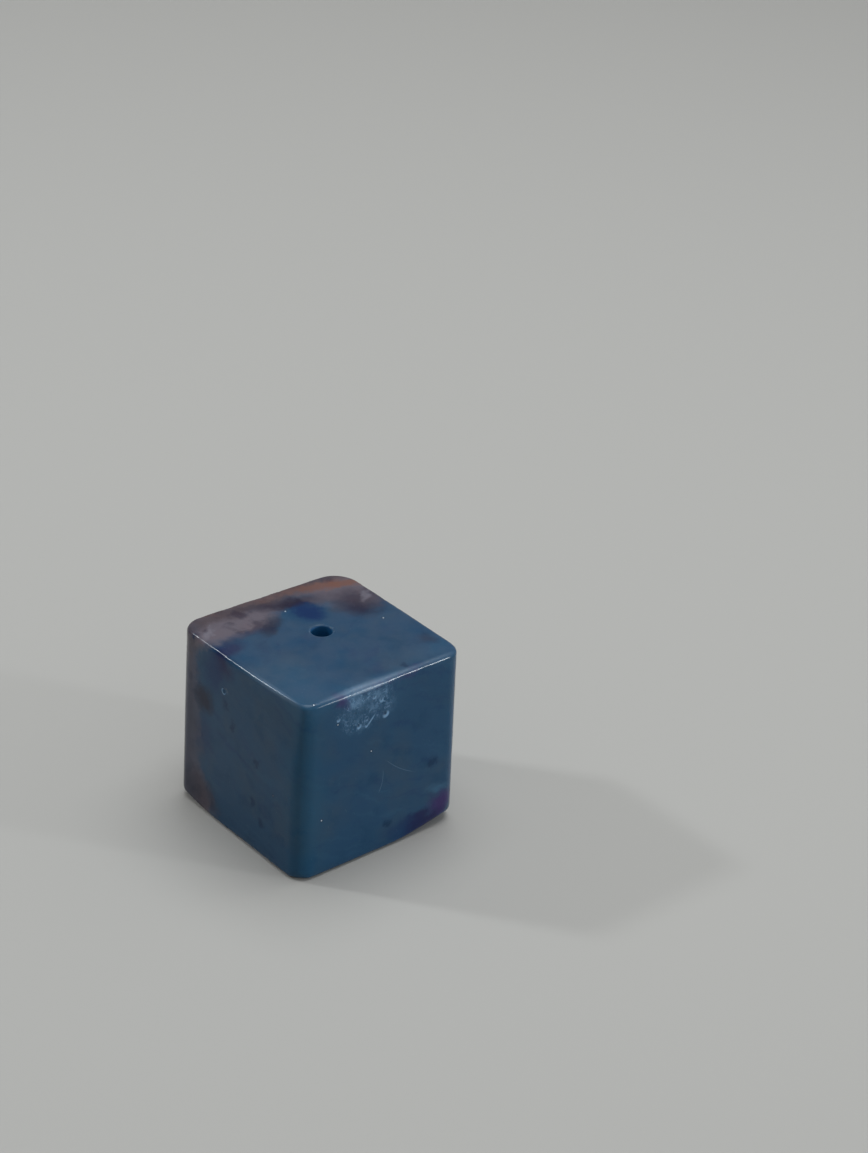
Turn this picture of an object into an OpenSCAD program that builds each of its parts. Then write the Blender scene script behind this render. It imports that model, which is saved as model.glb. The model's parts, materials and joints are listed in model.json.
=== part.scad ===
// Drilled cube bead, cut and polished from one piece of banded stone.
// Millimetres. The bead stands on z = 0, and its block is centred on x = y = 0.
// The stringing hole runs straight up, parallel to Z, from the bottom face to the top face.

/* [Block] */
// Width of the block, along X
block_w = 14; // [8:0.1:24]
// Depth of the block, along Y
block_d = 14.2; // [8:0.1:24]
// Height of the block, along Z
block_h = 13.8; // [8:0.1:24]

/* [Edges] */
// Radius of the standing edge at +X +Y
edge_r_back = 2; // [0.8:0.1:3.5]
// Radius of the standing edge at -X +Y
edge_r_left = 1.7; // [0.8:0.1:3.5]
// Radius of the standing edge at -X -Y
edge_r_front = 1.4; // [0.8:0.1:3.5]
// Radius of the standing edge at +X -Y
edge_r_right = 1.4; // [0.8:0.1:3.5]
// Radius of the rims round the top face and the bottom face
rim_r = 0.45; // [0.2:0.05:0.7]

/* [Stringing hole] */
// Diameter of the hole
bore_d = 1.5; // [0.6:0.1:3]
// Distance of the hole from the block's centre, along X
bore_x = 0.4; // [-1:0.1:1]
// Distance of the hole from the block's centre, along Y
bore_y = 0.5; // [-1:0.1:1]
// Width of the polished bevel round each mouth of the hole
mouth_bevel = 0.1; // [0.05:0.05:0.4]

/* [Hidden] */

// How far a cutting tool runs past the face that it opens
overrun = 1;
// Facets of a full circle in the preview
circle_facets = 96;
stone_blue = [0.16, 0.25, 0.33];

half_w = block_w / 2;
half_d = block_d / 2;
bore_r = bore_d / 2;

// The sides in turn. Each runs from the standing edge at its start to the one at its end:
// [turn about Z, distance from the centre, reach to its start, reach to its end,
//  radius at its start, radius at its end]
SIDES = [
    [  0, half_w, half_d, half_d, edge_r_right, edge_r_back ],
    [ 90, half_d, half_w, half_w, edge_r_back,  edge_r_left ],
    [180, half_w, half_d, half_d, edge_r_left,  edge_r_front],
    [270, half_d, half_w, half_w, edge_r_front, edge_r_right]
];

// Upright section of the block from an axis out to reach, with both of its outer rims rounded.
module rimmed_section(reach) {
    square([reach - rim_r, block_h]);
    translate([0, rim_r]) square([reach, block_h - 2 * rim_r]);
    for (z = [rim_r, block_h - rim_r])
        translate([reach - rim_r, z]) circle(r = rim_r, $fn = circle_facets);
}

// The part of the block behind one flat side, between its two rounded standing edges.
module side_wall(distance, start, end) {
    translate([0, end, 0])
        rotate([90, 0, 0])
            linear_extrude(height = end - start)
                rimmed_section(distance);
}

// One rounded standing edge: a quarter turn of the section about the edge's own axis.
module standing_edge(x, y, radius) {
    translate([x - radius, y - radius, 0])
        rotate_extrude(angle = 90, $fn = circle_facets)
            rimmed_section(radius);
}

module block() {
    for (side = SIDES)
        rotate(side[0]) {
            side_wall(side[1], side[4] - side[2], side[3] - side[5]);
            standing_edge(side[1], side[3], side[5]);
        }
}

// The drill's straight hole, with a cone at each mouth that leaves the polished bevel.
module drill() {
    cone_h = mouth_bevel + overrun;
    translate([bore_x, bore_y, 0]) {
        translate([0, 0, -overrun])
            cylinder(h = block_h + 2 * overrun, r = bore_r, $fn = circle_facets);
        translate([0, 0, block_h - mouth_bevel])
            cylinder(h = cone_h, r1 = bore_r, r2 = bore_r + cone_h, $fn = circle_facets);
        translate([0, 0, -overrun])
            cylinder(h = cone_h, r1 = bore_r + cone_h, r2 = bore_r, $fn = circle_facets);
    }
}

module bead() {
    color(stone_blue)
        difference() {
            block();
            drill();
        }
}

bead();
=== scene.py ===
import json
import math
import random

import bmesh
import bpy
from mathutils import Euler, Matrix, Vector, kdtree, noise


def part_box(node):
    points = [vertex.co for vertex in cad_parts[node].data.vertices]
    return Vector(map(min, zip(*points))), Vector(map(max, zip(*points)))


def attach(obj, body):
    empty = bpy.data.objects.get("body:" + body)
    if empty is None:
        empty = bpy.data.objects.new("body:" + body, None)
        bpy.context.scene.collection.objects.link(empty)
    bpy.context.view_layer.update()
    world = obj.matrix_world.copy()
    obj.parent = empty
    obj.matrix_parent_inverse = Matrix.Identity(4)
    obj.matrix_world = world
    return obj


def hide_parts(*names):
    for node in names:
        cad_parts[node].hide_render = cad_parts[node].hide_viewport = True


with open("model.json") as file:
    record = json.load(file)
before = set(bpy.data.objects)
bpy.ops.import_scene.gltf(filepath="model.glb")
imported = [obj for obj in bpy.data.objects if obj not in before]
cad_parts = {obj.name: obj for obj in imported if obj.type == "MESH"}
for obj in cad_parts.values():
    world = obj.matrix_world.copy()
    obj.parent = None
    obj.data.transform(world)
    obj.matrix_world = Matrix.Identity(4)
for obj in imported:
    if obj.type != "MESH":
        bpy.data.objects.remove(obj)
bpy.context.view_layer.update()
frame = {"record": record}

# ---------------------------------------------------------------------------
# The bead: a cube of banded blue stone, sawn, ground and polished by hand.
# It is one piece, with a hole drilled from top to bottom for the cord, and
# nothing is fixed to it. Its sizes below are in millimetres, as it was cut.
# ---------------------------------------------------------------------------
MM = 0.001
low, high = (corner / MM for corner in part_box("bead"))
size = high - low
half = size / 2
middle = (low + high) / 2

# The sawn blank. Its standing edges are rounded on the wheel, each a little
# differently, and its upper corners lean in where the saw wandered.
EDGE_RADII = {(1, 1): 2.0, (-1, 1): 1.7, (-1, -1): 1.25, (1, -1): 1.3}
UPPER_LEAN = {(1, 1): (0.0, -0.30), (-1, 1): (0.0, 0.0), (-1, -1): (0.08, 0.0), (1, -1): (-0.10, 0.08)}
# The left-hand back edge is rounder at its top than at its foot
FOOT_EDGE, FOOT_RADIUS = (-1, 1), 1.0
RIM_RADIUS = 0.4
EDGE_STEPS = 12
RIM_STEPS = 6
FACE_COLUMNS = 72
FACE_ROWS = 84
# Corners and edges are drawn in along the flats as far as this many radii
DRAWN_ALONG = 4

bm = bmesh.new()
bmesh.ops.create_cube(bm, size=1)
bmesh.ops.scale(bm, vec=size, verts=bm.verts)
bmesh.ops.translate(bm, vec=middle, verts=bm.verts)


def sides_of(vert):
    """Which standing edge a corner is on, as the signs of its X and Y."""
    return (1 if vert.co.x > 0 else -1, 1 if vert.co.y > 0 else -1)


def rise(edge):
    """How far an edge climbs from one end to the other."""
    return abs(edge.verts[0].co.z - edge.verts[1].co.z)


for vert in bm.verts:
    if vert.co.z > middle.z:
        bmesh.ops.translate(bm, vec=(*UPPER_LEAN[sides_of(vert)], 0), verts=[vert])


def tighten(vert, sides, from_radius, to_radius):
    """Draw a rounded standing edge in to a smaller radius, fading out along the flats."""
    way = Vector((*sides, 0))
    for axis in (0, 1):
        off = half[axis] - way[axis] * (vert.co[axis] - middle[axis])
        radii_in = off / from_radius
        fade = min(radii_in, max(0, (DRAWN_ALONG - radii_in) / (DRAWN_ALONG - 1)))
        vert.co[axis] += way[axis] * (from_radius - to_radius) * fade


for sides, radius in EDGE_RADII.items():
    standing = [e for e in bm.edges if rise(e) > half.z and all(sides_of(v) == sides for v in e.verts)]
    bmesh.ops.bevel(bm, geom=standing, offset=radius, offset_type="OFFSET", segments=EDGE_STEPS,
                    profile=0.5, affect="EDGES", material=-1)

caps = [f for f in bm.faces if len(f.verts) > 4]
bmesh.ops.bevel(bm, geom=[e for cap in caps for e in cap.edges], offset=RIM_RADIUS, offset_type="OFFSET",
                segments=RIM_STEPS, profile=0.5, affect="EDGES", material=-1)

lying = [e for e in bm.edges if e.calc_length() > half.z and rise(e) < half.z]
bmesh.ops.subdivide_edges(bm, edges=lying, cuts=FACE_COLUMNS, use_grid_fill=True)
standing = [e for e in bm.edges if rise(e) > half.z]
bmesh.ops.subdivide_edges(bm, edges=standing, cuts=FACE_ROWS, use_grid_fill=True)

# The stringing hole: drilled straight through, a little off the middle, and
# touched with a cone at each mouth so that its edge can't cut the cord.
hole = next(m for m in frame["record"]["mounts"] if m["name"] == "string_hole")
hole_axis = Vector(hole["pos_m"]) / MM
HOLE_RADIUS = hole["dims"]["r_mm"]
MOUTH_BEVEL = (size.z - hole["dims"]["length_mm"]) / 2
MOUTH_STEPS = 3
HOLE_ROWS = 12
CAP_RINGS = 36


def from_hole(vert):
    """How far a point lies from the hole's axis."""
    return math.hypot(vert.co.x - hole_axis.x, vert.co.y - hole_axis.y)


caps = [f for f in bm.faces if len(f.verts) > 4]
for cap in caps:
    bmesh.ops.inset_region(bm, faces=[cap], thickness=RIM_RADIUS)
    for vert in cap.verts:
        outward = Vector((vert.co.x - hole_axis.x, vert.co.y - hole_axis.y, 0)).normalized()
        vert.co = Vector((hole_axis.x, hole_axis.y, vert.co.z)) + outward * HOLE_RADIUS
mouths = [e for cap in caps for e in cap.edges]
bmesh.ops.delete(bm, geom=caps, context="FACES_ONLY")
bmesh.ops.bridge_loops(bm, edges=mouths)
bmesh.ops.bevel(bm, geom=mouths, offset=MOUTH_BEVEL, offset_type="OFFSET", segments=MOUTH_STEPS,
                profile=0.5, affect="EDGES", material=-1)
bore_lines = [e for e in bm.edges if rise(e) > half.z and from_hole(e.verts[0]) < 2 * HOLE_RADIUS]
spokes = [e for e in bm.edges if abs(from_hole(e.verts[0]) - from_hole(e.verts[1])) > 2 * HOLE_RADIUS]
bmesh.ops.subdivide_edges(bm, edges=spokes, cuts=CAP_RINGS, use_grid_fill=True)
bmesh.ops.subdivide_edges(bm, edges=bore_lines, cuts=HOLE_ROWS, use_grid_fill=True)
bmesh.ops.recalc_face_normals(bm, faces=bm.faces)

# Hand lapping and wear: the flats are a touch crowned and not quite true, and
# the corners that met the lap first, most of all the lower ones, are rounder.
CROWN = 0.03
LAP_WAVE = 0.012
RIM_WEAR = 0.03
RIM_STARTS = 0.93
# The lap passed over the mouths, and bit fully only some way out from them
LAP_SPARED, LAP_EASED_IN = 1.3 * HOLE_RADIUS, 2 * HOLE_RADIUS


def share(place):
    """Where a point lies between the middle and each side, from -1 to 1."""
    away = place - middle
    return Vector((away.x / half.x, away.y / half.y, away.z / half.z))


def rub(facing, depth, softness):
    """Wear away what stands furthest out in one direction, and round off what is left."""
    facing = Vector(facing).normalized()
    level = max(facing.dot(v.co) for v in bm.verts) - depth
    for vert in bm.verts:
        proud = (facing.dot(vert.co) - level) / softness
        if proud > -8:
            vert.co -= facing * softness * math.log1p(math.exp(proud))


for vert in bm.verts:
    foot = (high.z - vert.co.z) / size.z
    near_foot = EDGE_RADII[FOOT_EDGE] + (FOOT_RADIUS - EDGE_RADII[FOOT_EDGE]) * foot
    if sides_of(vert) == FOOT_EDGE and from_hole(vert) > 2 * HOLE_RADIUS:
        tighten(vert, FOOT_EDGE, EDGE_RADII[FOOT_EDGE], near_foot)

bm.normal_update()
for vert in bm.verts:
    at = share(vert.co)
    off_mouth = from_hole(vert) - LAP_SPARED
    if off_mouth < 0 or at.z < -0.999:
        continue
    lapped = min(1, off_mouth / LAP_EASED_IN)
    for axis in range(3):
        if axis == 2 and at.z < 0:
            continue
        bow = (at.length_squared - at[axis] ** 2) / 2
        vert.co[axis] -= math.copysign(CROWN * lapped * bow * at[axis] ** 8, at[axis])
    vert.co -= vert.normal * LAP_WAVE * lapped * (1 + noise.noise(vert.co * 0.35))
    near_rim = sorted(abs(a) for a in at)[1]
    if near_rim > RIM_STARTS:
        worn = noise.noise(vert.co * 0.9) + 0.5 * noise.noise(vert.co * 3.5)
        vert.co -= vert.normal * RIM_WEAR * max(worn, 0)

# Each worn place, with the way it faces, its depth and how softly it ends: the
# two lower edges and the four lower corners, then the left-hand upper rim
WORN_PLACES = [((0.2, -1, -1), 0.48, 0.10), ((-1, 0.15, -1), 0.25, 0.05),
               ((1, -1, -1.1), 0.15, 0.06), ((-1, 1, -1.1), 0.20, 0.06),
               ((-1, -1, -1.1), 0.12, 0.06), ((1, 1, -1.1), 0.25, 0.08),
               ((-1, -0.07, 0.06), 0.24, 0.06)]
for facing, depth, softness in WORN_PLACES:
    rub(facing, depth, softness)

# Flaws in the polish: pores that the lap opened, small flakes knocked off the
# rims and the hole's mouths, and pockets of fine crystals too deep to polish
# out. Each place is where it lies on the outside of the stone.
PORES = [(-1.02, -7.1, 8.54), (-5.1, -7.1, 4.56), (-7.0, -4.1, 5.65), (-3.95, -7.1, 11.68),
         (0.0, 4.1, 13.8), (5.0, -0.5, 13.8), (-5.8, -6.8, 13.75),
         (7.0, 1.9, 10.6), (7.0, -3.4, 4.2), (7.0, 4.9, 7.0),
         (-2.4, 7.1, 9.3), (4.1, 7.1, 5.0), (-4.8, 7.1, 3.1), (2.2, -3.8, 0.0), (-4.1, 1.9, 0.0)]
PORE_WIDTH, PORE_DEPTH = 0.16, 0.035
# Flakes, each with its width and depth
FLAKES = [((-6.95, 5.2, 13.72), 0.42, 0.07), ((-6.95, -1.9, 13.72), 0.22, 0.04),
          ((4.3, -7.0, 13.7), 0.2, 0.04), ((6.9, 3.3, 13.7), 0.35, 0.06),
          ((1.4, 6.8, 13.7), 0.45, 0.07), ((-3.6, 6.95, 13.7), 0.25, 0.05),
          ((6.9, -1.6, 0.1), 0.5, 0.08), ((-2.6, -7.0, 0.1), 0.35, 0.06),
          ((-6.9, 1.1, 0.1), 0.4, 0.07), ((2.9, 7.0, 0.1), 0.5, 0.08),
          ((6.55, 6.5, 7.9), 0.3, 0.05), ((6.6, -6.7, 9.4), 0.25, 0.04)]
# Bubbles in the stone that the lap cut open, each with its width
BUBBLES = [((-3.95, -7.1, 12.05), 0.26), ((-2.2, -7.1, 10.95), 0.34),
           ((-1.55, -7.1, 10.75), 0.22), ((0.05, -7.1, 11.15), 0.46), ((-0.35, -7.1, 12.35), 0.30),
           ((-0.95, -7.1, 12.75), 0.26), ((3.0, 7.1, 5.2), 0.36), ((2.3, 7.1, 4.0), 0.28)]
BUBBLE_DEPTH = 0.10
# A half-moon bruise left by a knock on the left-hand side
BRUISE, BRUISE_WIDTH, BRUISE_DEPTH = (-7.0, 1.6, 11.0), 0.5, 0.06
# Crystal pockets, each with its reach and how many pits it holds
POCKETS = [((-1.5, -7.1, 12.25), (2.3, 1.0, 1.5), 130), ((3.1, 7.1, 4.4), (1.5, 1.0, 1.0), 60)]
PIT_WIDTHS = (0.10, 0.42)
# A pit's depth as a share of its width
PIT_SHARE = 0.17
FINEST_PIT_MESH = 0.065
MOUTH_FLAKES = 7


def outward(place):
    """The way out of the stone at a place on it, from the sides and rims it is nearest to."""
    way = [math.copysign(abs(a) ** 24, a) for a in share(Vector(place))]
    return Vector(way).normalized()


def refine(spots):
    """Split the mesh round each spot (its place, reach and spacing) until it is that fine there."""
    while True:
        bm.faces.index_update()
        bm.faces.ensure_lookup_table()
        centres = kdtree.KDTree(len(bm.faces))
        for face in bm.faces:
            centres.insert(face.calc_center_median(), face.index)
        centres.balance()
        coarse = set()
        for place, reach, spacing in spots:
            for _, index, _ in centres.find_range(place, reach):
                coarse.update(e for e in bm.faces[index].edges if e.calc_length() > spacing)
        if not coarse:
            return
        bmesh.ops.subdivide_edges(bm, edges=list(coarse), cuts=1, use_grid_fill=True)


def scoop(place, way_out, width, depth):
    """Hollow the stone as a ball of the right size would, so that the hollow has a crisp lip."""
    radius = (width ** 2 / 4 + depth ** 2) / (2 * depth)
    ball = Vector(place) + way_out * (radius - depth)
    for _, index, _ in points.find_range(place, width):
        vert = bm.verts[index]
        away = vert.co - ball
        if away.length < radius:
            vert.co = ball + away.normalized() * radius


dice = random.Random(7)
mouth_flakes = []
for mouth_z in (low.z, high.z):
    for turn in range(MOUTH_FLAKES):
        angle = math.tau * (turn + dice.uniform(-0.3, 0.3)) / MOUTH_FLAKES
        to_edge = Vector((math.cos(angle), math.sin(angle), 0)) * (HOLE_RADIUS + MOUTH_BEVEL)
        place = Vector((hole_axis.x, hole_axis.y, mouth_z)) + to_edge
        mouth_flakes.append((place, dice.uniform(0.14, 0.34), dice.uniform(0.02, 0.05)))
pits = []
for centre, reach, count in POCKETS:
    for _ in range(count):
        angle, out = dice.uniform(0, math.tau), math.sqrt(dice.random())
        off_centre = Vector((reach[0] * math.cos(angle), 0, reach[2] * math.sin(angle))) * out
        place = Vector(centre) + off_centre
        pits.append((place, dice.uniform(*PIT_WIDTHS) * (1.2 - 0.6 * out)))

refine([(place, PORE_WIDTH, PORE_WIDTH / 5) for place in PORES]
       + [(place, width * 0.75, width / 8) for place, width, _ in FLAKES + mouth_flakes]
       + [(place, width * 0.75, width / 8) for place, width in BUBBLES]
       + [(BRUISE, BRUISE_WIDTH * 0.75, BRUISE_WIDTH / 10)]
       + [(place, width * 0.9, FINEST_PIT_MESH) for place, width in pits])
bm.verts.index_update()
bm.verts.ensure_lookup_table()
points = kdtree.KDTree(len(bm.verts))
for vert in bm.verts:
    points.insert(vert.co, vert.index)
points.balance()
for place in PORES:
    scoop(place, outward(place), PORE_WIDTH, PORE_DEPTH)
for place, width, depth in FLAKES:
    scoop(place, outward(place), width, depth)
for place, width, depth in mouth_flakes:
    scoop(place, Vector((0, 0, math.copysign(1, place[2] - middle.z))), width, depth)
scoop(BRUISE, (outward(BRUISE) + Vector((0, -0.35, 0.25))).normalized(), BRUISE_WIDTH, BRUISE_DEPTH)
for place, width in BUBBLES:
    scoop(place, outward(place), width, BUBBLE_DEPTH)
for place, width in pits:
    tilt = Vector((dice.uniform(-0.4, 0.4), 0, dice.uniform(-0.4, 0.4)))
    scoop(place, (outward(place) + tilt).normalized(), width, width * PIT_SHARE)

bmesh.ops.scale(bm, vec=(MM, MM, MM), verts=bm.verts)
mesh = bpy.data.meshes.new("polished_bead")
bm.to_mesh(mesh)
bm.free()
mesh.shade_smooth()
bead = bpy.data.objects.new("polished_bead", mesh)
bpy.context.scene.collection.objects.link(bead)
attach(bead, "root")
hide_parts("bead")

# ---------------------------------------------------------------------------
# The stone itself: steel blue, with a brown and mauve rind down the back, and
# clouds, spots and hairlines that run through it, so that each shows on every
# side that it reaches. Places and reaches are in millimetres, as above.
# ---------------------------------------------------------------------------
stone = bpy.data.materials.new("polished_stone")
stone.use_nodes = True
mesh.materials.append(stone)
tree = stone.node_tree
shader = tree.nodes["Principled BSDF"]


def wire(socket, value):
    """Join a socket to another node's output, or set it to a plain value."""
    if isinstance(value, bpy.types.NodeSocket):
        tree.links.new(value, socket)
    else:
        socket.default_value = value


def sum_up(operation, *values):
    """One step of arithmetic."""
    step = tree.nodes.new("ShaderNodeMath")
    step.operation = operation
    for socket, value in zip(step.inputs, values):
        wire(socket, value)
    return step.outputs["Value"]


def shift(operation, *values):
    """One step of arithmetic on places or directions."""
    step = tree.nodes.new("ShaderNodeVectorMath")
    step.operation = operation
    for socket, value in zip(step.inputs, values):
        wire(socket, value)
    return step.outputs["Vector"]


def between(value, start, end):
    """Rise smoothly from 0 at the start to 1 at the end."""
    ease = tree.nodes.new("ShaderNodeMapRange")
    ease.interpolation_type = "SMOOTHSTEP"
    ease.clamp = False
    wire(ease.inputs["Value"], value)
    ease.inputs["From Min"].default_value = start
    ease.inputs["From Max"].default_value = end
    return ease.outputs["Result"]


def cloud(where, scale, detail, roughness=0.5):
    """A cloudy pattern, with its strength and its colour outputs."""
    pattern = tree.nodes.new("ShaderNodeTexNoise")
    wire(pattern.inputs["Vector"], where)
    pattern.inputs["Scale"].default_value = scale
    pattern.inputs["Detail"].default_value = detail
    pattern.inputs["Roughness"].default_value = roughness
    return pattern.outputs


def turned(where, centre=(0, 0, 0), turn=(0, 0, 0), reach=(1, 1, 1)):
    """Places measured from a centre, along turned axes, in units of a reach."""
    mapping = tree.nodes.new("ShaderNodeMapping")
    mapping.vector_type = "TEXTURE"
    wire(mapping.inputs["Vector"], where)
    mapping.inputs["Location"].default_value = centre
    mapping.inputs["Rotation"].default_value = Euler([math.radians(a) for a in turn])
    mapping.inputs["Scale"].default_value = reach
    return mapping.outputs["Vector"]


def nearness(where, centre, reach, turn=(0, 0, 0)):
    """1 at a centre, falling evenly to 0 where the reach ends."""
    ball = tree.nodes.new("ShaderNodeTexGradient")
    ball.gradient_type = "SPHERICAL"
    wire(ball.inputs["Vector"], turned(where, centre, turn, reach))
    return ball.outputs["Fac"]


def zone(where, centre, reach, softness=0.4, turn=(0, 0, 0)):
    """1 inside an egg-shaped zone and 0 outside, with a soft edge."""
    whole = [r * (1 + softness) for r in reach]
    return between(nearness(where, centre, whole, turn), 0, 2 * softness / (1 + softness))


def distance(where, centre, furthest):
    """How far a point is from a centre, up to the furthest that matters."""
    return sum_up("MULTIPLY_ADD", nearness(where, centre, (furthest,) * 3), -furthest, furthest)


def tint(under, colour, amount):
    """Lay a colour over another, where the amount is above 0."""
    mix = tree.nodes.new("ShaderNodeMix")
    mix.data_type = "RGBA"
    factor, under_socket, over_socket = mix.inputs[0], mix.inputs[6], mix.inputs[7]
    wire(factor, amount)
    wire(under_socket, under)
    wire(over_socket, colour if isinstance(colour, bpy.types.NodeSocket) else (*colour, 1))
    return mix.outputs[2]


coordinates = tree.nodes.new("ShaderNodeTexCoord")
place = turned(coordinates.outputs["Object"], reach=(MM, MM, MM))

# The edges of every cloud wander, in broad waves and in fine ragged ones
broad = shift("SUBTRACT", cloud(place, 0.35, 2)["Color"], (0.5, 0.5, 0.5))
ragged = shift("SUBTRACT", cloud(place, 2.2, 4, 0.6)["Color"], (0.5, 0.5, 0.5))
broad = shift("MULTIPLY", broad, (2.0 * MM, 2.0 * MM, 2.0 * MM))
ragged = shift("MULTIPLY", ragged, (0.9 * MM, 0.9 * MM, 0.9 * MM))
moved = shift("ADD", coordinates.outputs["Object"], shift("ADD", broad, ragged))
wandering = turned(moved, reach=(MM, MM, MM))
# How far back a place is, from the middle to beyond the back face
FURTHEST_BACK = 10.0
backward = tree.nodes.new("ShaderNodeTexGradient")
wire(backward.inputs["Vector"], turned(wandering, turn=(0, 0, 90), reach=(FURTHEST_BACK, 1, 1)))
how_far_back = sum_up("MULTIPLY", backward.outputs["Fac"], FURTHEST_BACK)

STEEL_BLUE = (0.013, 0.057, 0.120)
SMOKY_BLUE = (0.021, 0.059, 0.110)
INK_BLUE = (0.008, 0.048, 0.105)
DEEP_BLUE = (0.000, 0.018, 0.088)
PAINTED_EDGE_GLOW = (0.002, 0.072, 0.142)
PALE_BLUE = (0.036, 0.110, 0.195)
FROST = (0.220, 0.390, 0.600)
VIOLET = (0.008, 0.008, 0.056)
MAGENTA = (0.040, 0.011, 0.095)
MAUVE_GREY = (0.130, 0.105, 0.126)
MAUVE_BROWN = (0.024, 0.017, 0.036)
PINK_BROWN = (0.078, 0.054, 0.060)
ORANGE = (0.170, 0.075, 0.055)
UMBER = (0.010, 0.009, 0.026)
CHARCOAL = (0.003, 0.003, 0.012)
SLATE = (0.034, 0.046, 0.080)
MILK = (0.210, 0.190, 0.225)
PLUM = (0.010, 0.004, 0.020)

# Blue body: slow changes of depth, smoke, and faint close bands across it
colour = tint((*STEEL_BLUE, 1), SMOKY_BLUE, between(cloud(place, 0.22, 3)["Fac"], 0.45, 0.65))
colour = tint(colour, INK_BLUE, between(cloud(place, 0.6, 5, 0.6)["Fac"], 0.50, 0.72))
bands = cloud(turned(wandering, turn=(25, 10, 35), reach=(4, 4, 0.5)), 1.0, 3)["Fac"]
colour = tint(colour, PALE_BLUE, sum_up("MULTIPLY", between(bands, 0.55, 0.75), 0.16))
colour = tint(colour, DEEP_BLUE, sum_up("MULTIPLY", between(bands, 0.45, 0.28), 0.25))

# Rind: it starts some way back from the middle, and its inner edge bulges
# forward and back. Along the back it is banded like an onion. Each bulge has
# its centre, its reach and how far it comes forward.
RIND_START = 4.9
RIND_BULGES = [((-4.4, 4.0, 14.5), (4.0, 5.0, 1.3), 2.1), ((0.8, 4.0, 13.8), (1.8, 5.0, 4.0), -0.5),
               ((5.6, 2.0, 13.0), (1.8, 5.0, 3.0), 3.6), ((-7.0, 3.0, 0.5), (4.0, 5.0, 2.4), 1.8),
               ((7.0, 4.0, 4.0), (3.5, 5.0, 3.5), -1.0), ((1.0, 4.0, 0.0), (3.0, 5.0, 2.5), 1.1)]
depth = sum_up("SUBTRACT", how_far_back, RIND_START)
for centre, reach, bulge in RIND_BULGES:
    depth = sum_up("MULTIPLY_ADD", zone(place, centre, reach, 0.8), bulge, depth)
rings = distance(wandering, (2.2, 10.0, 8.5), 30.0)
onion = tree.nodes.new("ShaderNodeValToRGB")
onion.color_ramp.interpolation = "B_SPLINE"
wire(onion.inputs["Fac"], sum_up("FRACT", sum_up("DIVIDE", rings, 2.6)))
stops = onion.color_ramp.elements
ONION = [(0.0, MAUVE_GREY), (0.14, PINK_BROWN), (0.22, MILK), (0.28, PINK_BROWN), (0.44, MAUVE_BROWN),
         (0.52, ORANGE), (0.60, PINK_BROWN), (0.74, MAUVE_GREY), (0.84, UMBER), (0.92, PINK_BROWN)]
while len(stops) < len(ONION):
    stops.new(0.5)
for stop, (position, shade) in zip(stops, ONION):
    stop.position = position
    stop.color = (*shade, 1)
rind = tint((*MAUVE_GREY, 1), PINK_BROWN, between(how_far_back, 4.9, 6.0))
rind = tint(rind, MAUVE_BROWN, sum_up("MULTIPLY", between(cloud(place, 0.9, 4)["Fac"], 0.48, 0.68), 0.6))
rind = tint(rind, onion.outputs["Color"], sum_up("MULTIPLY", between(how_far_back, 5.8, 7.4), 0.8))
colour = tint(colour, rind, between(depth, -0.8, 0.7))
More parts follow.
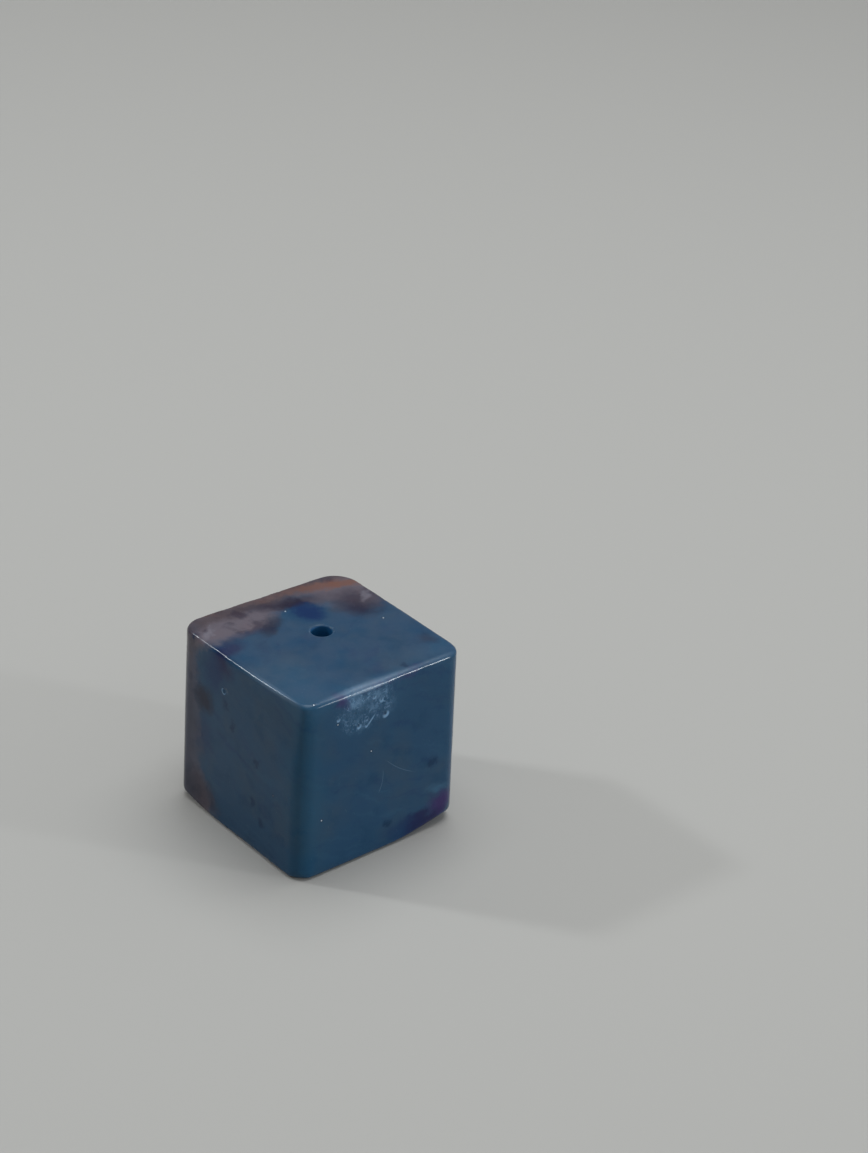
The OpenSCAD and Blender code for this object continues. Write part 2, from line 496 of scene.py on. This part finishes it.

# Clouds and patches: colour, strength, centre, reach, softness and turn. Some are painted light, as
# marked below.
PATCHES = [
    # The two teal patches on the near standing edges are painted light: the glow of light passing
    # through the thin edges.
    (PAINTED_EDGE_GLOW, 0.15, (7.2, -7.2, 9.5), (1.7, 1.7, 6.0), 0.9, (0, 0, 0)),
    (PAINTED_EDGE_GLOW, 0.45, (-7.0, -7.1, 6.9), (1.7, 1.5, 10.0), 0.9, (0, 0, 0)),
    # These three pale blue patches on the top, by the near rims, are painted sheen, where the lamps'
    # reflections lie.
    (PALE_BLUE, 0.30, (-1.0, -6.6, 13.8), (2.8, 0.6, 0.6), 0.8, (0, 0, 0)),
    (PALE_BLUE, 0.35, (-5.6, -4.8, 13.8), (2.4, 3.4, 1.0), 0.8, (0, 0, 0)),
    (PALE_BLUE, 0.25, (5.4, -6.2, 13.8), (2.4, 1.2, 1.0), 0.8, (0, 0, 0)),
    (FROST, 0.28, (-2.4, -7.1, 13.2), (0.9, 0.5, 0.4), 0.9, (0, 0, 0)),
    (PALE_BLUE, 0.25, (-1.2, -7.1, 12.4), (2.8, 0.8, 1.9), 0.6, (0, 0, 0)),
    (SLATE, 0.75, (-7.0, 5.9, 5.5), (1.6, 1.6, 8.0), 0.6, (0, 0, 0)),
    (UMBER, 0.75, (-2.2, 3.1, 13.8), (1.5, 0.55, 1.2), 0.6, (0, 0, 38)),
    (PLUM, 0.95, (1.4, 4.8, 13.8), (3.4, 0.62, 1.2), 0.8, (0, 0, -14)),
    (DEEP_BLUE, 0.90, (1.4, 3.3, 13.8), (0.95, 1.1, 1.0), 0.6, (0, 0, -20)),
    (ORANGE, 0.95, (5.3, 4.95, 13.5), (2.4, 0.50, 1.8), 0.6, (0, 0, -24)),
    (ORANGE, 0.50, (1.8, 6.05, 13.7), (3.4, 0.35, 0.8), 0.8, (0, 0, -8)),
    (MAUVE_GREY, 0.65, (4.4, 3.9, 13.8), (1.6, 0.7, 1.2), 0.7, (0, 0, -25)),
    (MAUVE_BROWN, 0.80, (4.5, 2.5, 13.6), (1.3, 1.3, 2.4), 0.6, (0, 0, 0)),
    (PLUM, 0.70, (5.0, 1.2, 13.8), (1.2, 0.8, 1.5), 0.8, (0, 0, 10)),
    (MILK, 1.00, (6.15, 2.6, 13.8), (0.75, 0.26, 0.6), 0.8, (0, 0, 38)),
    (MILK, 0.16, (2.9, 3.7, 13.8), (1.2, 0.35, 0.6), 0.8, (0, 0, -60)),
    (PLUM, 0.40, (5.75, -4.3, 13.8), (0.5, 0.65, 1.0), 0.8, (0, 0, 0)),
    (MILK, 0.60, (-6.0, 4.5, 13.8), (1.0, 0.30, 0.8), 0.8, (0, 0, 38)),
    (VIOLET, 0.75, (-6.2, 2.2, 13.7), (0.9, 0.7, 0.8), 0.7, (0, 0, 0)),
    (VIOLET, 0.30, (-4.6, 3.0, 13.8), (1.9, 0.4, 0.8), 0.8, (0, 0, 0)),
    (VIOLET, 0.85, (-7.0, 1.7, 13.0), (0.8, 0.9, 0.9), 0.8, (0, 0, 0)),
    (DEEP_BLUE, 0.60, (-7.0, 2.7, 12.0), (1.0, 0.9, 1.5), 0.7, (0, 0, 0)),
    (UMBER, 0.85, (-7.0, 3.9, 9.4), (1.2, 0.9, 0.9), 0.7, (0, 0, 0)),
    (DEEP_BLUE, 0.40, (-7.0, 3.9, 6.3), (1.0, 0.9, 1.4), 0.8, (0, 0, 0)),
    (UMBER, 0.65, (-7.0, 4.6, 1.6), (1.6, 1.6, 1.4), 0.7, (0, 0, 0)),
    (MAGENTA, 0.60, (-3.6, -7.1, 13.3), (0.5, 0.6, 0.6), 0.7, (0, 0, 0)),
    (MAGENTA, 0.45, (0.9, -7.1, 13.75), (2.0, 0.35, 0.3), 0.7, (0, 0, 0)),
    (MAGENTA, 0.75, (5.5, -7.1, 1.9), (1.0, 1.6, 1.0), 0.7, (0, 0, 0)),
    (VIOLET, 0.85, (4.1, -7.1, 1.1), (1.5, 1.2, 0.5), 0.6, (0, 0, 0)),
    (DEEP_BLUE, 0.45, (2.2, -7.1, 0.9), (1.5, 1.2, 0.6), 0.7, (0, 0, 0)),
    (PALE_BLUE, 0.80, (4.9, -7.1, 3.4), (0.8, 0.5, 0.3), 0.9, (0, 0, 0)),
    (MAUVE_BROWN, 0.75, (7.0, 2.4, 12.6), (1.4, 1.4, 1.8), 0.5, (0, 0, 0)),
    (DEEP_BLUE, 0.65, (7.0, 0.4, 7.4), (1.4, 1.5, 2.3), 0.7, (0, 0, 0)),
    (MAGENTA, 0.40, (7.0, -2.6, 3.6), (1.6, 1.9, 1.2), 0.8, (0, 0, 0)),
    (PALE_BLUE, 0.45, (7.0, -3.2, 10.4), (1.0, 1.4, 0.8), 0.9, (0, 0, 0)),
    (VIOLET, 0.60, (3.0, -3.2, 0.0), (2.2, 1.5, 0.9), 0.7, (0, 0, 0)),
]
for shade, strength, centre, reach, softness, turn in PATCHES:
    patch = zone(wandering, centre, reach, softness, turn)
    colour = tint(colour, shade, sum_up("MULTIPLY", patch, strength))

# Dark freckles, each with its size. The last sits in the flake on the left-hand upper rim and is painted
# shade in its hollow.
FRECKLE = (0.000, 0.022, 0.066)
FRECKLES = [((4.6, -7.1, 5.4), 0.36), ((0.8, -7.1, 1.9), 0.42),
            ((-7.0, 1.2, 9.8), 0.30), ((-7.0, 0.4, 8.8), 0.28),
            ((-7.0, -2.2, 7.4), 0.26), ((-7.0, -3.0, 2.8), 0.40), ((-7.0, -1.7, 4.0), 0.34),
            ((-7.0, 4.5, 6.3), 0.26), ((2.0, -6.4, 13.8), 0.32), ((7.0, -4.8, 10.2), 0.34),
            ((7.0, 3.1, 5.2), 0.40), ((7.0, -0.6, 2.2), 0.32), ((-2.0, -3.0, 0.0), 0.45),
            ((3.4, 1.8, 0.0), 0.36), ((-6.9, 5.3, 13.7), 0.16)]
freckles = 0.0
for centre, radius in FRECKLES:
    freckles = sum_up("MAXIMUM", freckles, nearness(wandering, centre, (radius * 1.5,) * 3))
colour = tint(colour, FRECKLE, sum_up("MULTIPLY", between(freckles, 0, 0.8), 0.8))

# Fine speckle all through, and dust-sized dark grains
speckle = cloud(place, 9.0, 3, 0.7)["Fac"]
colour = tint(colour, PALE_BLUE, sum_up("MULTIPLY", between(speckle, 0.60, 0.80), 0.15))
colour = tint(colour, CHARCOAL, sum_up("MULTIPLY", between(speckle, 0.40, 0.22), 0.30))

# A painted grey sheen lies over the top face, for the pale room that it reflects,
# but not over its deep blue patch, which is left clear of it
TOP_SHEEN = (0.100, 0.110, 0.140)
painted_top_sheen = zone(place, (0.0, 0.0, 14.6), (20.0, 20.0, 1.0), 0.15)
painted_top_sheen = sum_up("MULTIPLY", painted_top_sheen, between(cloud(place, 0.5, 4)["Fac"], 0.25, 0.65))
deep_patch = zone(wandering, (1.2, 3.3, 13.8), (1.8, 1.5, 1.0), 0.5)
painted_top_sheen = sum_up("MULTIPLY", painted_top_sheen, sum_up("SUBTRACT", 1.0, deep_patch))
colour = tint(colour, TOP_SHEEN, sum_up("MULTIPLY", painted_top_sheen, 0.20))

# Painted highlights and sheen along the near rims, where the lamps' reflections lie. Each has
# its strength, centre and reach.
RIM_SHEEN = (0.320, 0.420, 0.540)
PAINTED_RIM_SHEENS = [(0.34, (-6.85, -4.6, 13.8), (0.26, 3.0, 0.25)),
         (0.34, (-1.6, -6.90, 13.8), (2.6, 0.30, 0.2)),
         (0.20, (3.4, -6.95, 13.8), (3.4, 0.22, 0.2)),
         (0.60, (-1.5, -7.07, 13.52), (1.7, 0.12, 0.10))]
for strength, centre, reach in PAINTED_RIM_SHEENS:
    sheen_zone = zone(place, centre, reach, 0.9)
    colour = tint(colour, RIM_SHEEN, sum_up("MULTIPLY", sheen_zone, strength))

# Frost: a milky veil over each crystal pocket, and in it curls, half rings and
# wisps where small crystals stand on end
frost = 0.0
for centre, reach, _ in POCKETS:
    lip = zone(wandering, centre, reach, 0.3)
    heart_centre = (centre[0] - 0.20 * reach[0], centre[1], centre[2] - 0.10 * reach[2])
    heart = zone(wandering, heart_centre, [r * 0.55 for r in reach], 0.7)
    frost = sum_up("ADD", frost, sum_up("SUBTRACT", lip, sum_up("MULTIPLY", heart, 0.8)))
curls = tree.nodes.new("ShaderNodeTexVoronoi")
curls.inputs["Scale"].default_value = 1.7
wire(curls.inputs["Vector"], wandering)
curl = between(sum_up("ABSOLUTE", sum_up("SUBTRACT", curls.outputs["Distance"], 0.34)), 0.09, 0.0)
curl = sum_up("MULTIPLY", curl, between(cloud(place, 1.3, 3, 0.6)["Fac"], 0.48, 0.60))
veins = sum_up("ABSOLUTE", sum_up("SUBTRACT", cloud(wandering, 1.1, 3, 0.6)["Fac"], 0.5))
wisps = sum_up("MULTIPLY", between(veins, 0.030, 0.0), 0.7)
veil = sum_up("MULTIPLY", between(cloud(place, 1.2, 5, 0.65)["Fac"], 0.42, 0.70), 0.45)
frost = sum_up("MULTIPLY", frost, sum_up("MAXIMUM", sum_up("MAXIMUM", curl, wisps), veil))
# Each open bubble is painted darker in its hollow, as shade, and paler along its lower side, as light
# caught on the wall that faces up.
bubbles, lit_sides = 0.0, 0.0
for centre, width in BUBBLES:
    bubbles = sum_up("MAXIMUM", bubbles, nearness(place, centre, (width,) * 3))
    lit_side = (centre[0] + 0.3 * width, centre[1], centre[2] - 0.4 * width)
    lit_sides = sum_up("MAXIMUM", lit_sides, nearness(place, lit_side, (width * 0.9,) * 3))
shaded_pools = between(bubbles, 0.50, 0.75)
lit_crescents = sum_up("MULTIPLY", between(bubbles, 0.05, 0.35), between(lit_sides, 0.0, 0.6))
frost = sum_up("MAXIMUM", frost, sum_up("MULTIPLY", lit_crescents, sum_up("SUBTRACT", 1.0, shaded_pools)))
# Painted shade in the bubbles' hollows
colour = tint(colour, CHARCOAL, sum_up("MULTIPLY", shaded_pools, 0.25))
streak = zone(place, (-1.15, -7.1, 11.0), (0.45, 0.4, 0.06), 0.6, (0, -48, 0))
frost = sum_up("MAXIMUM", frost, streak)
bruised = distance(place, BRUISE, 2.0)
ring = between(sum_up("ABSOLUTE", sum_up("SUBTRACT", bruised, BRUISE_WIDTH * 0.42)), 0.06, 0.01)
open_side = zone(place, (BRUISE[0], BRUISE[1] + 0.14, BRUISE[2] - 0.12), (0.30, 0.30, 0.30), 0.3)
frost = sum_up("MAXIMUM", frost, sum_up("MULTIPLY", ring, open_side))
frost_colour = tint((*FROST, 1), MILK, between(depth, -0.8, 0.7))
colour = tint(colour, frost_colour, sum_up("MULTIPLY", frost, 0.68))

# Pores: packed white with polishing paste, in a dark surround
pores = 0.0
for pore in PORES:
    pores = sum_up("MAXIMUM", pores, nearness(place, pore, (0.16, 0.16, 0.16)))
colour = tint(colour, CHARCOAL, sum_up("MULTIPLY", between(pores, 0, 0.5), 0.5))
PASTE = (0.700, 0.820, 0.920)
colour = tint(colour, PASTE, between(pores, 0.58, 0.75))

# Hairline scratches: arcs of a circle on a face, and a haze of finer ones
# Each arc has its circle's centre and radius, then the stretch that shows
ARCS = [((6.2, -7.1, 12.6), 7.9, (1.5, -7.1, 6.3), (1.3, 0.5, 1.3)),
        ((-2.6, -7.1, 6.2), 2.7, (0.0, -7.1, 5.7), (0.5, 0.5, 0.8)),
        ((7.0, -9.0, 2.0), 9.4, (7.0, -2.2, 8.6), (0.5, 1.8, 1.2))]
scratch = 0.0
for centre, radius, seen, reach in ARCS:
    off = sum_up("ABSOLUTE", sum_up("SUBTRACT", distance(place, centre, 12.0), radius))
    line = sum_up("MULTIPLY", between(off, 0.035, 0.01), zone(place, seen, reach, 0.5))
    scratch = sum_up("MAXIMUM", scratch, line)
haze = 0.0
for turn in ((35, 20, 50), (-50, 65, 10), (80, -30, 120)):
    hairs = cloud(turned(place, turn=turn, reach=(9.0, 0.07, 0.07)), 1.0, 1)["Fac"]
    haze = sum_up("MAXIMUM", haze, between(hairs, 0.74, 0.80))
colour = tint(colour, FROST, sum_up("MULTIPLY", scratch, 0.14))

# The drilled wall is darker than the outside, and a faint pale ring round each mouth is a painted
# highlight on its bevel
DRILLED_BLUE = (0.000, 0.080, 0.220)
wall_radius = HOLE_RADIUS * 1.02
mouth_radius = HOLE_RADIUS + 1.3 * MOUTH_BEVEL
right_through = size.z * 4
inside_hole = zone(place, hole_axis, (wall_radius, wall_radius, right_through), 0.02)
mouth = zone(place, hole_axis, (mouth_radius, mouth_radius, right_through), 0.04)
colour = tint(colour, FROST, sum_up("MULTIPLY", mouth, 0.05))
colour = tint(colour, DRILLED_BLUE, sum_up("MULTIPLY", inside_hole, 0.8))
wire(shader.inputs["Base Color"], colour)

# Polish: a soft shine, uneven from the lap, dull in the frost and the hole
smears = cloud(turned(place, turn=(0, 20, 40), reach=(3, 1, 1)), 0.8, 4)["Fac"]
dullness = sum_up("MULTIPLY_ADD", smears, 0.14, 0.12)
dullness = sum_up("MULTIPLY_ADD", haze, 0.10, dullness)
dullness = sum_up("MULTIPLY_ADD", scratch, 0.2, dullness)
dullness = sum_up("MULTIPLY_ADD", frost, 0.30, dullness)
dullness = sum_up("MAXIMUM", dullness, sum_up("MULTIPLY", inside_hole, 0.6))
wire(shader.inputs["Roughness"], dullness)

# Relief too fine for the mesh: lap marks, crystal grain and drill rings
relief = sum_up("MULTIPLY", cloud(place, 0.9, 2)["Fac"], 0.003)
relief = sum_up("MULTIPLY_ADD", cloud(place, 14.0, 2)["Fac"], 0.0004, relief)
relief = sum_up("MULTIPLY_ADD", haze, -0.0006, relief)
relief = sum_up("MULTIPLY_ADD", scratch, -0.006, relief)
front_pocket = zone(place, POCKETS[0][0], POCKETS[0][1])
crystal_grain = sum_up("MULTIPLY", cloud(place, 5.0, 3)["Fac"], front_pocket)
relief = sum_up("MULTIPLY_ADD", crystal_grain, 0.05, relief)
drill_rings = cloud(turned(place, reach=(9, 9, 0.12)), 1.0, 1)["Fac"]
drill_rings = sum_up("MULTIPLY", inside_hole, drill_rings)
relief = sum_up("MULTIPLY_ADD", drill_rings, 0.03, relief)
bump = tree.nodes.new("ShaderNodeBump")
bump.inputs["Distance"].default_value = MM
wire(bump.inputs["Height"], relief)
wire(shader.inputs["Normal"], bump.outputs["Normal"])

# Light sinks a little way in before it comes back, as in any fine quartz
shader.inputs["IOR"].default_value = 1.54
shader.inputs["Specular IOR Level"].default_value = 0.20
shader.inputs["Subsurface Weight"].default_value = 0.12
shader.inputs["Subsurface Radius"].default_value = (0.3, 0.7, 1.0)
shader.inputs["Subsurface Scale"].default_value = 0.6 * MM

# ---------------------------------------------------------------------------
# The studio: a plain pale board under the bead, pale all round, one broad soft
# box overhead, and two small ones whose reflections run along the near rims.
# ---------------------------------------------------------------------------
FLOOR_SIZE = 3.0
board = bpy.data.meshes.new("board")
bm = bmesh.new()
bmesh.ops.create_grid(bm, x_segments=1, y_segments=1, size=FLOOR_SIZE / 2)
bm.to_mesh(board)
bm.free()
floor = bpy.data.objects.new("floor", board)
bpy.context.scene.collection.objects.link(floor)
pale = bpy.data.materials.new("pale_board")
pale.use_nodes = True
board_shader = pale.node_tree.nodes["Principled BSDF"]
board_shader.inputs["Base Color"].default_value = (0.462, 0.444, 0.418, 1)
board_shader.inputs["Roughness"].default_value = 0.8
board_shader.inputs["Specular IOR Level"].default_value = 0.2
board.materials.append(pale)

world = bpy.data.worlds.new("studio")
world.use_nodes = True
# The room is brighter to the right and in front than to the left and behind
sky = world.node_tree.nodes["Background"]
sky.inputs["Color"].default_value = (0.97, 0.99, 1.0, 1)
looking = world.node_tree.nodes.new("ShaderNodeTexCoord")
along = world.node_tree.nodes.new("ShaderNodeVectorMath")
along.operation = "DOT_PRODUCT"
along.inputs[1].default_value = (0.45, -0.88, 0.1)
world.node_tree.links.new(looking.outputs["Generated"], along.inputs[0])
brightness = world.node_tree.nodes.new("ShaderNodeMapRange")
brightness.inputs["From Min"].default_value = -1
brightness.inputs["To Min"].default_value = 0.14
brightness.inputs["To Max"].default_value = 0.47
world.node_tree.links.new(along.outputs["Value"], brightness.inputs["Value"])
world.node_tree.links.new(brightness.outputs["Result"], sky.inputs["Strength"])
bpy.context.scene.world = world
bpy.context.scene.view_settings.view_transform = "Standard"


def soft_box(name, direction, distance, width, length, watts):
    """A rectangular soft box that faces the bead from the given direction."""
    light = bpy.data.lights.new(name, "AREA")
    light.shape = "RECTANGLE"
    light.size, light.size_y = width, length
    light.energy = watts
    light.color = (0.90, 0.96, 1.0)
    box = bpy.data.objects.new(name, light)
    towards = Vector(direction).normalized()
    box.location = Vector((0, 0, middle.z * MM)) + towards * distance
    box.rotation_mode = "QUATERNION"
    box.rotation_quaternion = towards.to_track_quat("Z", "Y")
    bpy.context.scene.collection.objects.link(box)


soft_box("overhead_box", (0.15, 0.05, 0.97), 0.35, 0.28, 0.28, 0.84)
soft_box("left_rim_box", (-0.50, 0.65, 0.57), 0.5, 0.035, 0.035, 0.55)
soft_box("front_rim_box", (0.575, -0.81, 0.16), 0.5, 0.035, 0.03, 0.80)

# The camera looks down on the bead's nearest standing edge from the left, with
# the bead left of the middle of the picture and below it.
CAMERA_AZIMUTH = -41.0
CAMERA_TILT = 28.7
CAMERA_ROLL = 3.0
CAMERA_DISTANCE = 181 * MM
BEAD_LEFT, BEAD_DOWN = 8.3 * MM, 16.1 * MM
lens = bpy.data.cameras.new("camera")
lens.lens = 80
lens.sensor_width = 36
camera = bpy.data.objects.new("camera", lens)
camera.matrix_world = (
    Matrix.Rotation(math.radians(CAMERA_AZIMUTH), 4, "Z")
    @ Matrix.Rotation(math.radians(90 - CAMERA_TILT), 4, "X")
    @ Matrix.Rotation(math.radians(CAMERA_ROLL), 4, "Z")
    @ Matrix.Translation((BEAD_LEFT, BEAD_DOWN, CAMERA_DISTANCE))
)
bpy.context.scene.collection.objects.link(camera)
bpy.context.scene.camera = camera
